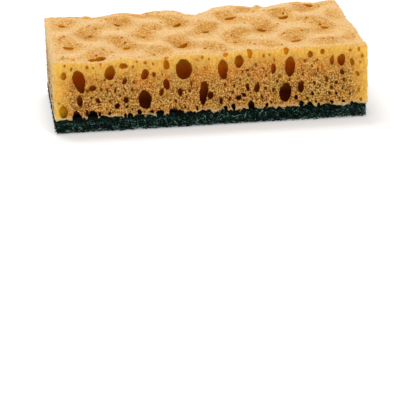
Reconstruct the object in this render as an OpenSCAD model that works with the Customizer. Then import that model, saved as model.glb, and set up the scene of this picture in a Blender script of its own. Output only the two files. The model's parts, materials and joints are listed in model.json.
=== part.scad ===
// Kitchen cleaning sponge: a block of open-pored foam bonded to a scouring pad.
// The origin is the middle of the pad's underside, X runs along the length,
// Y runs from the front to the back, and Z is up. All lengths are millimetres.

/* [Foam block] */
// Length of the foam, along X
foam_l = 96; // [60:1:150]
// Width of the foam, along Y
foam_w = 65; // [40:1:100]
// Height of the foam above the pad, at the middle level of its waves
foam_h = 19.3; // [14:0.1:40]
// How much higher the cut top stands at the back edge than at the front edge
top_rise = 3; // [0:0.2:4]

/* [Wave-cut top] */
// Distance between two hollows of one row, along the length
wave_l = 18; // [12:0.5:30]
// Distance between two rows of hollows, across the width
row_w = 16; // [12:0.5:25]
// Distance of the first full row of hollows from the front edge, in the middle
first_row = 13.2; // [8:0.1:25]
// How much nearer the rows run to the front edge on each millimetre to the right
row_slant = 0.12; // [-0.2:0.02:0.2]
// Shift of that row along the length, from the middle
row_shift = -7; // [-15:0.5:15]
// Height of a crest above the middle level
crest_h = 1.3; // [0.2:0.1:2]
// Depth of a hollow below the middle level
hollow_h = 1.5; // [0.2:0.1:3]
// Lean of the slopes that face the front, as a share of what would stand them upright
wave_lean = 0.65; // [0:0.05:0.75]
// How far the hollows stray from their rows
wander = 1.2; // [0:0.1:1.5]
// Width of the band along the front and back edges in which the wave fades
fade_w = 12; // [2:0.5:20]
// Share of the wave that is left on the front edge
front_share = 0.3; // [0:0.05:1]
// Width of the band along the two ends in which it fades
end_fade_w = 8; // [2:0.5:20]
// Share of the wave that is left on the ends
end_share = 0.25; // [0:0.05:1]
// Height of the long swell that dips left of the middle and lifts right of it
swell_h = 0.5; // [0:0.1:1.5]
// Spacing of the points that carry the wave
wave_step = 2.7; // [2:0.1:6]

/* [Pores] */
// Depth of a pore, as a share of its width
pore_depth = 0.8; // [0.4:0.05:1.2]
// Width of a middle-sized pore on the faces that are filled by rule
pore_w = 2.2; // [1:0.1:3.5]
// Distance between neighbouring pores on those faces
pore_pitch = 6.4; // [5:0.1:12]
// Band under the cut top, and above the pad, that these pores keep clear of
pore_band = 2.4; // [1.5:0.1:4]
// Width of the small pore at the bottom of each hollow in the top
hollow_pore_w = 1.8; // [1:0.1:3]
// Length of the open slot in the top, close to the front edge
slot_l = 4.6; // [2:0.1:10]
// Width of that slot
slot_w = 2; // [1:0.1:2.5]

/* [Scouring pad] */
// Thickness of the scouring pad
pad_t = 4.6; // [2:0.2:10]
// How far the pad's edge stays inside the foam's faces
pad_inset = 0.5; // [0:0.1:2]
// How far its torn fibre edge wanders in and out
pad_ragged = 0.25; // [0:0.05:0.4]

/* [Hidden] */

half_l = foam_l / 2;
half_w = foam_w / 2;
foam_z = pad_t + foam_h;
cells_x = ceil(foam_l / wave_step);
cells_y = ceil(foam_w / wave_step);
// How far behind its face a pore's middle lies, as a share of the pore's width
pore_sink = 0.06;

// Large and middle-sized pores of the front face, as the foam shows them.
// Each is [percent along from the left, percent up from the pad, width, height,
// lean in degrees, taper], where a taper above 0 narrows the top end by that share
// and one below 0 narrows the bottom end.
FRONT_PORES = [
    [8.3, 58, 3.7, 7.4, -12, -0.3],
    [8.1, 29, 1.7, 3.4, -5, 0.2],
    [12.4, 47, 1.8, 2.4, 70, 0],
    [3.4, 69, 1.9, 2.5, 0, 0],
    [2.8, 12, 2.6, 4, 0, 0],
    [7, 1, 3, 4.8, 0, 0.2],
    [12, 1, 3, 4, 0, 0],
    [10.2, 8, 1.1, 2.2, 0, 0],
    [14, 27, 1.5, 2, 0, 0],
    [18.2, 72, 3.1, 4.9, 10, 0.35],
    [22.6, 81, 2, 2.7, 90, 0],
    [22.7, 56, 1.7, 2.1, 10, 0],
    [20, 17, 1.5, 2, 0, 0],
    [22.9, 26, 1.5, 2.1, 0, 0],
    [29.2, 65, 2.4, 3.5, 20, -0.2],
    [32.1, 64, 1.4, 1.9, 0, 0],
    [28.8, 25, 3.9, 5.9, -5, 0.1],
    [35.9, 48, 2.2, 3.7, 0, 0],
    [36.2, 78, 2.1, 3, 0, 0],
    [36.3, 91, 1.5, 1.9, 0, 0],
    [34.2, 35, 1.3, 2.6, 20, 0],
    [41.7, 70, 5.1, 6.5, 0, 0],
    [40.2, 34, 1.6, 2.8, 0, 0],
    [33.5, 3, 1.8, 2.8, 90, 0],
    [47.8, 30, 2, 7.8, 8, 0.1],
    [50, 25, 1.7, 2.8, 0, 0],
    [54.2, 66, 3, 6.3, -3, 0.1],
    [59.4, 77, 2.9, 4.1, 8, 0.1],
    [62.8, 90, 1.6, 3.3, 0, 0],
    [55.2, 91, 1.8, 2, 0, 0],
    [64.9, 34, 1.7, 3.5, 10, 0],
    [61.9, 35, 1.4, 2.5, 0, 0],
    [62.8, 6, 2.2, 3.6, 0, 0.2],
    [53.3, 15, 1.2, 2.3, 0, 0],
    [70.4, 62, 1.7, 3.7, 4, 0],
    [75.7, 65, 3, 6.6, 3, 0.2],
    [73.9, 23, 3.8, 5.9, 5, 0],
    [78.9, 31, 2, 4.1, 0, 0],
    [74.5, 90, 1.4, 2.2, 0, 0],
    [82.2, 82, 1.9, 2.3, 0, 0],
    [89.4, 71, 1.4, 3.1, 0, 0],
    [92.4, 71, 2.5, 3.6, 0, 0],
    [92.5, 51, 1.5, 2.2, 0, 0],
    [95.8, 66, 1.5, 2.2, 0, 0],
    [97.5, 48, 1.3, 1.9, 0, 0],
    [79, 4, 1.8, 1.9, 0, 0],
    [87.4, 41, 1, 2.1, 0, 0],
    [82.6, 18, 1.2, 1.6, 0, 0]
];

// Heights of the back edge above or below its straight line, as the foam shows them.
// Each is [percent along from the left, height].
BACK_EDGE = [
    [0, 0], [6, 0.1], [10, -0.1], [13.5, -0.5], [17.5, -0.9], [21, -0.3], [26, 0.4], [29, 0.1],
    [33, -0.4], [37.5, 0.3], [41.5, 0.4], [45, 0.2], [49, -1.3], [52, -1.7], [55, -0.9],
    [58.5, 0.4], [63.5, 0.8], [67, 0.5], [71, -0.3], [76, -0.4], [79, 0.2], [86.5, 0.9],
    [92.5, 0.1], [97, 0.6], [100, 0.8]
];

// The slot in the top, close to the front edge
slot_x = -half_l + 14;
slot_y = -half_w + slot_w;

// Way from 0 to 1 with a smooth start and end, while t goes from 0 to 1
function smooth(t) = let (s = max(0, min(1, t))) s * s * (3 - 2 * s);

// Share of the wave that is left at a place: less along the front edge and the two ends,
// and none along the back edge, which has its own heights
function fade(x, y) =
    (front_share + (1 - front_share) * smooth((half_w + y) / fade_w))
    * (end_share + (1 - end_share) * smooth((half_l - abs(x)) / end_fade_w))
    * smooth((half_w - y) / fade_w);

// How far a hollow at a place has strayed along the length, and across the width
function stray_x(x, y) = wander * sin(9.5 * y + 3.8 * x);
function stray_y(x, y) = wander * sin(7.2 * x - 3 * y);

// Wave between about 1 on a crest and -1 in a hollow: hollows stand in staggered rows,
// and some are deeper than others
function wave(x, y) =
    -cos(180 * (y - stray_y(x, y) + row_slant * x + half_w - first_row) / row_w)
    * cos(360 * (x - stray_x(x, y) - row_shift) / wave_l)
    * (1 + 0.25 * sin(8.2 * x + 11.5 * y)) * fade(x, y);

// Height of the cut top, which rises to the back and swells along the length
function top_z(x, y) =
    let (w = wave(x, y), edge = smooth(1 - (half_w - y) / fade_w))
    foam_z + top_rise * y / foam_w
    + (1 - edge) * swell_h * sin(320 * x / foam_l)
    + edge * lookup(100 * (x + half_l) / foam_l, BACK_EDGE)
    + (w > 0 ? crest_h : hollow_h) * w;

// Place across the width of a point of the cut top. It lies further front on a crest and
// further back in a hollow, which makes the slopes that face the front steep.
function leant_y(x, y) =
    y - wave_lean * row_w / PI * wave(x, y) * smooth((half_w - abs(y)) / 5);

function grid_x(i) = -half_l + foam_l * i / cells_x;
function grid_y(j) = -half_w + foam_w * j / cells_y;

// Number between 0 and 1 that looks random and is the same in every build
function scatter(i, seed) = abs(sin(i * 127.1 + seed * 311.7) * 43.7) % 1;

// Foam before its pores are cut: a grid of points carries the wave, and the four
// sides and the underside are flat, as the block is sawn from a larger one.
module wave_cut_block() {
    row = cells_x + 1;
    top = [for (j = [0:cells_y], i = [0:cells_x])
        let (x = grid_x(i), y = grid_y(j)) [x, leant_y(x, y), top_z(x, y)]];
    base = [for (y = [-half_w, half_w], x = [-half_l, half_l]) [x, y, pad_t]];
    b = len(top);
    last = cells_y * row;
    front_edge = [for (i = [0:cells_x]) i];
    back_edge = [for (i = [cells_x:-1:0]) last + i];
    left_edge = [for (j = [cells_y:-1:0]) j * row];
    right_edge = [for (j = [0:cells_y]) j * row + cells_x];
    polyhedron(
        points = concat(top, base),
        faces = concat(
            [for (j = [0:cells_y - 1], i = [0:cells_x - 1])
                let (p = j * row + i)
                each [[p, p + row, p + 1], [p + 1, p + row, p + row + 1]]],
            [concat(front_edge, [b + 1, b])],
            [concat(back_edge, [b + 2, b + 3])],
            [concat(left_edge, [b, b + 2])],
            [concat(right_edge, [b + 3, b + 1])],
            [[b, b + 1, b + 3, b + 2]]
        )
    );
}

// Facets around a pore: a wide one is rounder
function pore_sides(w) = w > 3.4 ? 12 : w > 1.9 ? 8 : 6;

// One end of a bubble: an ellipsoid of radius r whose tip lies at the height tip,
// and which reaches back over four fifths of the bubble's height h
module bubble_end(r, h, tip) {
    half_h = max(0.4 * h, r);
    translate([0, 0, sign(tip) * (abs(tip) - half_h)])
    scale([1, 1, half_h / r])
    sphere(r = r, $fn = pore_sides(2 * r));
}

// One pore: an egg-shaped bubble with its middle just behind the face that cuts it
// open. It stands upright, is open towards -Y and reaches into the foam along Y.
module pore(w, h, lean = 0, taper = 0) {
    translate([0, pore_sink * w, 0])
    rotate([0, lean, 0])
    scale([1, 2 * (pore_depth - pore_sink), 1])
    hull() {
        bubble_end(w / 2 * (1 + min(0, taper)), h, -h / 2);
        bubble_end(w / 2 * (1 - max(0, taper)), h, h / 2);
    }
}

// Pores of a face that is as long as face_l, spread in staggered rows and moved a
// little by scatter, so that no two faces look alike. Every third one is large.
module pore_field(face_l, face_h, seed) {
    columns = floor((face_l - pore_pitch / 2) / pore_pitch);
    rows = max(1, floor((face_h - 2 * pore_band) / pore_pitch + 0.6));
    step_up = (face_h - 2 * pore_band) / rows;
    for (c = [0:columns - 1], r = [0:rows - 1]) {
        k = c * rows + r;
        size = k % 3 == 0 ? 1.35 : 0.6 + 0.35 * scatter(k, seed);
        x = (c + 0.5 - columns / 2) * pore_pitch + (scatter(k, seed + 1) - 0.5) * pore_pitch * 0.6;
        z = pore_band + (r + 0.5) * step_up + (scatter(k, seed + 2) - 0.5) * step_up * 0.5;
        translate([x, 0, z])
        pore(pore_w * size, pore_w * size * (1.3 + 0.7 * scatter(k, seed + 3)),
             lean = 30 * scatter(k, seed + 4) - 15, taper = 0.5 * scatter(k, seed + 5) - 0.25);
    }
}

// Small pores at the bottom of the hollows in the wave-cut top, at the foot of the
// steep slopes
module hollow_pores() {
    rows = floor((foam_w - first_row - 2 * hollow_pore_w) / row_w);
    reach = ceil((half_l + abs(row_shift)) / wave_l);
    for (r = [0:rows], c = [-reach:reach]) {
        row_x = row_shift + (c + (r % 2) / 2) * wave_l;
        row_y = first_row - half_w + r * row_w - row_slant * row_x;
        x = row_x + stray_x(row_x, row_y);
        y = row_y + stray_y(row_x, row_y) + 1;
        k = (c + reach) * (rows + 1) + r;
        if (abs(x) < half_l - 2 * hollow_pore_w && abs(y) < half_w - 2 * hollow_pore_w)
        translate([x, leant_y(x, y), top_z(x, y)])
        rotate([-90, 0, 0])
        pore(hollow_pore_w * (0.7 + 0.5 * scatter(k, 31)), hollow_pore_w * (1.2 + 0.4 * scatter(k, 32)),
             lean = 70 + 40 * scatter(k, 33), taper = 0.4 * scatter(k, 34) - 0.2);
    }
}

module foam_block() {
    color([0.88, 0.68, 0.42])
    difference() {
        wave_cut_block();
        for (p = FRONT_PORES)
            translate([(p[0] / 100 - 0.5) * foam_l, -half_w, pad_t + p[1] / 100 * foam_h])
            pore(p[2], p[3], lean = p[4], taper = p[5]);
        translate([0, half_w, pad_t]) rotate(180) pore_field(foam_l, foam_h, 3);
        translate([-half_l, 0, pad_t]) rotate(-90) pore_field(foam_w, foam_h, 11);
        translate([half_l, 0, pad_t]) rotate(90) pore_field(foam_w, foam_h, 19);
        hollow_pores();
        translate([slot_x, slot_y, top_z(slot_x, slot_y)])
        rotate([-90, 0, 0])
        pore(slot_w, slot_l, lean = 90);
    }
}

// Outline of the pad: the foam's own outline moved in, with an edge that wanders
// a little because the fibre mat tears where it is cut.
function pad_edge(t, side_l, across) =
    let (x = (t - 0.5) * side_l,
         ends = min(1, 12 * min(t, 1 - t)),
         wander = pad_ragged * ends * (0.6 * sin(x * 33 + across * 50) + 0.4 * sin(x * 71 + across * 90)))
    [x, -across / 2 + wander];

function turned(p, angle) = [p[0] * cos(angle) - p[1] * sin(angle), p[0] * sin(angle) + p[1] * cos(angle)];

module scouring_pad() {
    l = foam_l - 2 * pad_inset;
    w = foam_w - 2 * pad_inset;
    steps_l = 48;
    steps_w = 32;
    outline = concat(
        [for (i = [0:steps_l - 1]) pad_edge(i / steps_l, l, w)],
        [for (i = [0:steps_w - 1]) turned(pad_edge(i / steps_w, w, l), 90)],
        [for (i = [0:steps_l - 1]) turned(pad_edge(i / steps_l, l, w), 180)],
        [for (i = [0:steps_w - 1]) turned(pad_edge(i / steps_w, w, l), 270)]
    );
    color([0.05, 0.2, 0.17])
    linear_extrude(pad_t) polygon(outline);
}

foam_block();
scouring_pad();
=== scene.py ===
import json
import math
import random

import bpy
import numpy as np
from mathutils import Matrix, Vector, noise

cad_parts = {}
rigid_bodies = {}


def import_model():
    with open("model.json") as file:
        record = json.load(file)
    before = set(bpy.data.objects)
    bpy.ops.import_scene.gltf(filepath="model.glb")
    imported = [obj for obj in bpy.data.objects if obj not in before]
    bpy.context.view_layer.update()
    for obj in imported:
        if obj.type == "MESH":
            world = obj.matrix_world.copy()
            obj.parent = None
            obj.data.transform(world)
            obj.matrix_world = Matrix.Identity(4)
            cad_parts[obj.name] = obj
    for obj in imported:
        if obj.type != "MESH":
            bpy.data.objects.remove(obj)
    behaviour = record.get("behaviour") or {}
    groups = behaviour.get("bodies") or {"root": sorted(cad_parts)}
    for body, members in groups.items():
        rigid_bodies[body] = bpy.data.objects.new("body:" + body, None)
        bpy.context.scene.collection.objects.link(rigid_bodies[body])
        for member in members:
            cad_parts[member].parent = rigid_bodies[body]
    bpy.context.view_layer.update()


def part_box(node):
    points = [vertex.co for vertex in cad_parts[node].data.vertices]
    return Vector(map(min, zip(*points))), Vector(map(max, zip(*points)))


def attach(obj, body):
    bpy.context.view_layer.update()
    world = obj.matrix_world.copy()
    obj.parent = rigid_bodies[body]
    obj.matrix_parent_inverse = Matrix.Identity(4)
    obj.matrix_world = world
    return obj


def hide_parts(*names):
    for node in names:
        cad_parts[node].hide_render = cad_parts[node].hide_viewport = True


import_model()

mm = 0.001

# Camera
# A long lens looks down on the front face from a little to the left. It is aimed under the
# sponge, so that the sponge lies high in the frame.
CAMERA_PLACE = Vector((-68.2, -749.9, 158.3)) * mm
CAMERA_TURN = math.radians(5.06)
CAMERA_PITCH = math.radians(14.15)
CAMERA_ROLL = math.radians(-2.33)
SENSOR_WIDTH = 36
FOCAL_LENGTH = 216

lens = bpy.data.cameras.new("camera")
lens.sensor_width = SENSOR_WIDTH
lens.lens = FOCAL_LENGTH
lens.clip_start = 0.05
lens.clip_end = 20
camera = bpy.data.objects.new("camera", lens)
bpy.context.scene.collection.objects.link(camera)
camera.matrix_world = (
    Matrix.Translation(CAMERA_PLACE)
    @ Matrix.Rotation(-CAMERA_TURN, 4, "Z")
    @ Matrix.Rotation(math.pi / 2 - CAMERA_PITCH, 4, "X")
    @ Matrix.Rotation(CAMERA_ROLL, 4, "Z")
)
bpy.context.scene.camera = camera

# Floor and light
# A sheet of white paper lies under the sponge. It goes to pure white around the sponge and
# keeps the shadow. One broad lamp hangs above and behind, a weaker one in front.
PAPER_SIDE = 8
PAPER_COLOUR = (0.86, 0.86, 0.86, 1)
PAPER_GLOW = 0.24
ROOM_LIGHT = 0.5
KEY_PLACE = Vector((-0.12, 0.5, 0.8))
KEY_SIDE = 0.5
KEY_WATTS = 5
FILL_PLACE = Vector((0.1, -0.8, 0.5))
FILL_SIDE = 0.6
FILL_WATTS = 3.1


def add_node(tree, kind, inputs=None, **settings):
    """A shader node. Its inputs are numbers, colours or the outputs that feed them."""
    node = tree.nodes.new(kind)
    for name, value in settings.items():
        setattr(node, name, value)
    for name, value in (inputs or {}).items():
        if isinstance(value, bpy.types.NodeSocket):
            tree.links.new(value, node.inputs[name])
        else:
            node.inputs[name].default_value = value
    return node


def new_material(name):
    """An empty node material and its tree."""
    material = bpy.data.materials.new(name)
    material.use_nodes = True
    material.node_tree.nodes.clear()
    return material, material.node_tree


def hang_lamp(name, place, side, watts):
    """A square lamp that shines on the middle of the sponge."""
    data = bpy.data.lights.new(name, "AREA")
    data.size = side
    data.energy = watts
    lamp = bpy.data.objects.new(name, data)
    lamp.location = place
    lamp.rotation_euler = (-place).to_track_quat("-Z", "Y").to_euler()
    bpy.context.scene.collection.objects.link(lamp)


bpy.ops.object.select_all(action="DESELECT")
bpy.ops.mesh.primitive_plane_add(size=PAPER_SIDE)
paper = bpy.context.object
paper.name = "paper"
white_paper, tree = new_material("white paper")
seen = add_node(tree, "ShaderNodeLightPath").outputs["Is Camera Ray"]
glow = add_node(tree, "ShaderNodeMath", {0: seen, 1: PAPER_GLOW}, operation="MULTIPLY").outputs[0]
matt = add_node(tree, "ShaderNodeBsdfDiffuse", {"Color": PAPER_COLOUR}).outputs[0]
shine = add_node(tree, "ShaderNodeEmission", {"Strength": glow}).outputs[0]
surface = add_node(tree, "ShaderNodeAddShader", {0: matt, 1: shine}).outputs[0]
add_node(tree, "ShaderNodeOutputMaterial", {"Surface": surface})
paper.data.materials.append(white_paper)

room = bpy.data.worlds.new("white room")
bpy.context.scene.world = room
room.use_nodes = True
tree = room.node_tree
tree.nodes.clear()
seen = add_node(tree, "ShaderNodeLightPath").outputs["Is Camera Ray"]
lit = add_node(tree, "ShaderNodeBackground", {"Color": (1, 1, 1, 1), "Strength": ROOM_LIGHT}).outputs[0]
white = add_node(tree, "ShaderNodeBackground", {"Color": (1, 1, 1, 1)}).outputs[0]
picked = add_node(tree, "ShaderNodeMixShader", {0: seen, 1: lit, 2: white}).outputs[0]
add_node(tree, "ShaderNodeOutputWorld", {"Surface": picked})

hang_lamp("key lamp", KEY_PLACE, KEY_SIDE, KEY_WATTS)
hang_lamp("front lamp", FILL_PLACE, FILL_SIDE, FILL_WATTS)
bpy.context.scene.view_settings.view_transform = "Standard"

# Foam block
# One piece of soft open-cell polyurethane foam, sawn to a block. Its top is cut by a wave
# blade, its sides cut through large egg-shaped bubbles and through thousands of fine cells,
# and its underside is bonded to the scouring pad.
foam_low, foam_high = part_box("foam_block")
pad_low, pad_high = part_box("scouring_pad")
FOAM_LENGTH = foam_high.x - foam_low.x
FOAM_WIDTH = foam_high.y - foam_low.y
FOAM_BOTTOM = pad_high.z
FOAM_HEIGHT = 19.3 * mm
HALF_LENGTH = FOAM_LENGTH / 2
HALF_WIDTH = FOAM_WIDTH / 2
TOP_RISE = 3 * mm
SWELL_HEIGHT = 0.5 * mm
SWELL_TURN = math.radians(320)
# The wave cut has hollows WAVE_LENGTH apart, in slanting and staggered rows ROW_WIDTH apart
WAVE_LENGTH = 18 * mm
ROW_WIDTH = 16 * mm
FIRST_ROW = 13.2 * mm
ROW_SLANT = 0.12
ROW_SHIFT = -7 * mm
CREST_HEIGHT = 1.3 * mm
HOLLOW_DEPTH = 1.5 * mm
WAVE_LEAN = 0.65
LEAN_FADE = 5 * mm
# The hollows stray from their rows by up to WANDER, in long waves along and across the block
WANDER = 1.2 * mm
STRAY_ALONG_X, STRAY_ALONG_Y = 15 * mm, 6 * mm
STRAY_ACROSS_X, STRAY_ACROSS_Y = 8 * mm, 19 * mm
# Crests and hollows differ in height by this share, over these lengths
UNEVEN = 0.25
UNEVEN_X, UNEVEN_Y = 7 * mm, 5 * mm
# Towards the back edge the wave fades out, and towards the front and the ends to these shares
EDGE_FADE = 12 * mm
FRONT_SHARE = 0.3
END_FADE = 8 * mm
END_SHARE = 0.25
# Heights of the back edge: percent along from the left, millimetres above its straight line
BACK_EDGE = np.array([
    (0, 0), (6, 0.1), (10, -0.1), (13.5, -0.5), (17.5, -0.9), (21, -0.3), (26, 0.4), (29, 0.1),
    (33, -0.4), (37.5, 0.3), (41.5, 0.4), (45, 0.2), (49, -1.3), (52, -1.7), (55, -0.9),
    (58.5, 0.4), (63.5, 0.8), (67, 0.5), (71, -0.3), (76, -0.4), (79, 0.2), (86.5, 0.9),
    (92.5, 0.1), (97, 0.6), (100, 0.8),
])
# Scraps that stand up where the blade tore the back edge, in the same measures, with their
# width in percent and their reach to the front
TORN_BITS = [(14.2, 0.6), (73.6, 0.9)]
TORN_WIDTH = 1.4
TORN_REACH = 2.5 * mm
EDGE_RADIUS = 0.8 * mm
# The right end is pressed outwards by this much at the top and by a share of it at the foot
END_BULGE = 1 * mm
BULGE_FOOT = 0.6
BULGE_REACH = 20 * mm
GRID_STEP = 0.52 * mm


def smooth_step(value, start, end):
    """0 before start, 1 after end, and a smooth way between them."""
    share = np.clip((value - start) / (end - start), 0, 1)
    return share * share * (3 - 2 * share)


def stray_along(x, y):
    """How far a hollow lies to the right of its place in the row."""
    return WANDER * np.sin(y / STRAY_ALONG_Y + x / STRAY_ALONG_X)


def stray_across(x, y):
    """How far a hollow lies behind its row."""
    return WANDER * np.sin(x / STRAY_ACROSS_X - y / STRAY_ACROSS_Y)


def wave(x, y):
    """The wave blade's cut, about 1 on a crest and -1 in a hollow. Hollows stand in staggered
    rows, stray a little from them and are flatter towards the edges of the block."""
    across = (y - stray_across(x, y) + ROW_SLANT * x + HALF_WIDTH - FIRST_ROW) / ROW_WIDTH
    along = (x - stray_along(x, y) - ROW_SHIFT) / WAVE_LENGTH
    fade = 1 - (1 - FRONT_SHARE) * smooth_step(HALF_WIDTH + y, EDGE_FADE, 0)
    fade = fade * (1 - (1 - END_SHARE) * smooth_step(HALF_LENGTH - np.abs(x), END_FADE, 0))
    fade = fade * smooth_step(HALF_WIDTH - y, 0, EDGE_FADE)
    uneven = 1 + UNEVEN * np.sin(x / UNEVEN_X + y / UNEVEN_Y)
    return -np.cos(math.pi * across) * np.cos(2 * math.pi * along) * fade * uneven


def top_height(x, y):
    """Height of the cut top, which rises to the back, swells along the length and ends in a
    back edge with heights of its own."""
    cut = wave(x, y)
    percent = 100 * (x + HALF_LENGTH) / FOAM_LENGTH
    edge = smooth_step(HALF_WIDTH - y, EDGE_FADE, 0)
    edge_height = np.interp(percent, BACK_EDGE[:, 0], BACK_EDGE[:, 1]) * mm
    at_edge = smooth_step(HALF_WIDTH - y, TORN_REACH, 0)
    for place, height in TORN_BITS:
        torn = np.exp(-(((percent - place) / TORN_WIDTH) ** 2)) * at_edge
        edge_height = edge_height + torn * height * mm
    swell = SWELL_HEIGHT * np.sin(SWELL_TURN * x / FOAM_LENGTH)
    level = FOAM_BOTTOM + FOAM_HEIGHT + TOP_RISE * y / FOAM_WIDTH
    return (level + (1 - edge) * swell + edge * edge_height
            + np.where(cut > 0, CREST_HEIGHT, HOLLOW_DEPTH) * cut)


def lean_forward(x, y):
    """How far a point of the top lies in front of its place on an upright wave: the slopes
    that face the front are steep, with a crease at their foot, and the others are gentle."""
    hold = smooth_step(HALF_WIDTH - np.abs(y), 0, LEAN_FADE)
    return WAVE_LEAN * ROW_WIDTH / math.pi * wave(x, y) * hold


def read_points(mesh):
    points = np.zeros(len(mesh.vertices) * 3)
    mesh.vertices.foreach_get("co", points)
    return points.reshape(-1, 3)


def write_points(mesh, points):
    mesh.vertices.foreach_set("co", points.ravel())
    mesh.update()


def select_edges(mesh, chosen):
    """Selects exactly these edges, in edit mode."""
    bpy.ops.mesh.select_mode(type="EDGE")
    bpy.ops.mesh.select_all(action="DESELECT")
    bpy.ops.object.mode_set(mode="OBJECT")
    mesh.edges.foreach_set("select", chosen)
    bpy.ops.object.mode_set(mode="EDIT")


def add_fine_block(name, length, width, bottom, top, step):
    """A closed block with square faces about step wide on its top and sides: a grid whose
    outline is pulled down, closed below and cut into rows."""
    bpy.ops.object.select_all(action="DESELECT")
    bpy.ops.mesh.primitive_grid_add(
        x_subdivisions=round(length / step), y_subdivisions=round(width / step), size=1)
    block = bpy.context.object
    block.name = name
    block.scale = (length, width, 1)
    block.location.z = top
    bpy.ops.object.transform_apply(location=True, rotation=False, scale=True)
    bpy.ops.object.mode_set(mode="EDIT")
    bpy.ops.mesh.region_to_loop()
    bpy.ops.mesh.extrude_edges_move(TRANSFORM_OT_translate={"value": (0, 0, bottom - top)})
    bpy.ops.mesh.edge_face_add()
    bpy.ops.object.mode_set(mode="OBJECT")
    heights = read_points(block.data)[:, 2]
    ends = np.zeros(len(block.data.edges) * 2, int)
    block.data.edges.foreach_get("vertices", ends)
    upright = np.abs(heights[ends[0::2]] - heights[ends[1::2]]) > (top - bottom) / 2
    bpy.ops.object.mode_set(mode="EDIT")
    select_edges(block.data, upright)
    bpy.ops.mesh.subdivide(number_cuts=round((top - bottom) / step) - 1)
    bpy.ops.mesh.select_all(action="SELECT")
    bpy.ops.mesh.normals_make_consistent(inside=False)
    bpy.ops.object.mode_set(mode="OBJECT")
    return block


def round_edges(points, low, high, radius):
    """Points of the surface of a box, moved onto the same box with rounded edges."""
    core = np.clip(points, low + radius, high - radius)
    out = points - core
    reach = np.linalg.norm(out, axis=1, keepdims=True)
    return core + out * radius / np.maximum(reach, 1e-9)


def end_bulge(x, share_up):
    """How far the right end is pressed outwards, most at the top."""
    share = BULGE_FOOT + (1 - BULGE_FOOT) * share_up
    return END_BULGE * share * smooth_step(x, HALF_LENGTH - BULGE_REACH, HALF_LENGTH)


flat_top = FOAM_BOTTOM + FOAM_HEIGHT
foam = add_fine_block("foam", FOAM_LENGTH, FOAM_WIDTH, FOAM_BOTTOM, flat_top, GRID_STEP)
points = read_points(foam.data)
low = np.array([-HALF_LENGTH, -HALF_WIDTH, FOAM_BOTTOM - EDGE_RADIUS])
high = np.array([HALF_LENGTH, HALF_WIDTH, flat_top])
points = round_edges(points, low, high, EDGE_RADIUS)
x, y = points[:, 0], points[:, 1].copy()
share_up = (points[:, 2] - FOAM_BOTTOM) / FOAM_HEIGHT
points[:, 2] = FOAM_BOTTOM + share_up * (top_height(x, y) - FOAM_BOTTOM)
points[:, 1] -= lean_forward(x, y) * share_up**2
points[:, 0] += end_bulge(x, share_up)
write_points(foam.data, points)

# Pores of the front face: percent along from the left, percent up from the pad, width and
# height in millimetres, lean in degrees, and how much narrower the upper end is
FRONT_PORES = [
    (8.3, 58, 3.7, 7.4, -12, -0.3), (8.1, 29, 1.7, 3.4, -5, 0.2), (12.4, 47, 1.8, 2.4, 70, 0),
    (3.4, 69, 1.9, 2.5, 0, 0), (2.8, 12, 2.6, 4, 0, 0), (7, 1, 3, 4.8, 0, 0.2),
    (12, 1, 3, 4, 0, 0), (10.2, 8, 1.1, 2.2, 0, 0), (14, 27, 1.5, 2, 0, 0),
    (18.2, 72, 3.1, 4.9, 10, 0.35), (22.6, 81, 2, 2.7, 90, 0), (22.7, 56, 1.7, 2.1, 10, 0),
    (20, 17, 1.5, 2, 0, 0), (22.9, 26, 1.5, 2.1, 0, 0), (29.2, 65, 2.4, 3.5, 20, -0.2),
    (32.1, 64, 1.4, 1.9, 0, 0), (28.8, 25, 3.9, 5.9, -5, 0.1), (35.9, 48, 2.2, 3.7, 0, 0),
    (36.2, 78, 2.1, 3, 0, 0), (36.3, 91, 1.5, 1.9, 0, 0), (34.2, 35, 1.3, 2.6, 20, 0),
    (41.7, 70, 5.1, 6.5, 0, 0), (40.2, 34, 1.6, 2.8, 0, 0), (33.5, 3, 1.8, 2.8, 90, 0),
    (47.8, 30, 2.7, 7.8, 8, 0), (50, 25, 1.7, 2.8, 0, 0), (54.2, 66, 3.1, 6.3, -3, -0.1),
    (59.4, 77, 3, 4.1, 8, -0.1), (62.8, 90, 1.6, 3.3, 0, 0), (55.2, 91, 1.8, 2, 0, 0),
    (64.9, 34, 1.7, 3.5, 10, 0), (61.9, 35, 1.4, 2.5, 0, 0), (62.8, 6, 2.2, 3.6, 0, 0.2),
    (53.3, 15, 1.2, 2.3, 0, 0), (70.4, 62, 1.7, 3.7, 4, 0), (75.7, 65, 3.1, 6.6, 3, 0),
    (73.9, 23, 3.8, 5.9, 5, 0), (78.9, 31, 2, 4.1, 0, 0), (74.5, 90, 1.4, 2.2, 0, 0),
    (82.2, 82, 1.9, 2.3, 0, 0), (89.4, 71, 1.4, 3.1, 0, 0), (92.4, 71, 2.5, 3.6, 0, 0),
    (92.5, 51, 1.5, 2.2, 0, 0), (95.8, 66, 1.5, 2.2, 0, 0), (97.5, 48, 1.3, 1.9, 0, 0),
    (79, 4, 1.8, 1.9, 0, 0), (87.4, 41, 1, 2.1, 0, 0), (82.6, 18, 1.2, 1.6, 0, 0),
]
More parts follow.
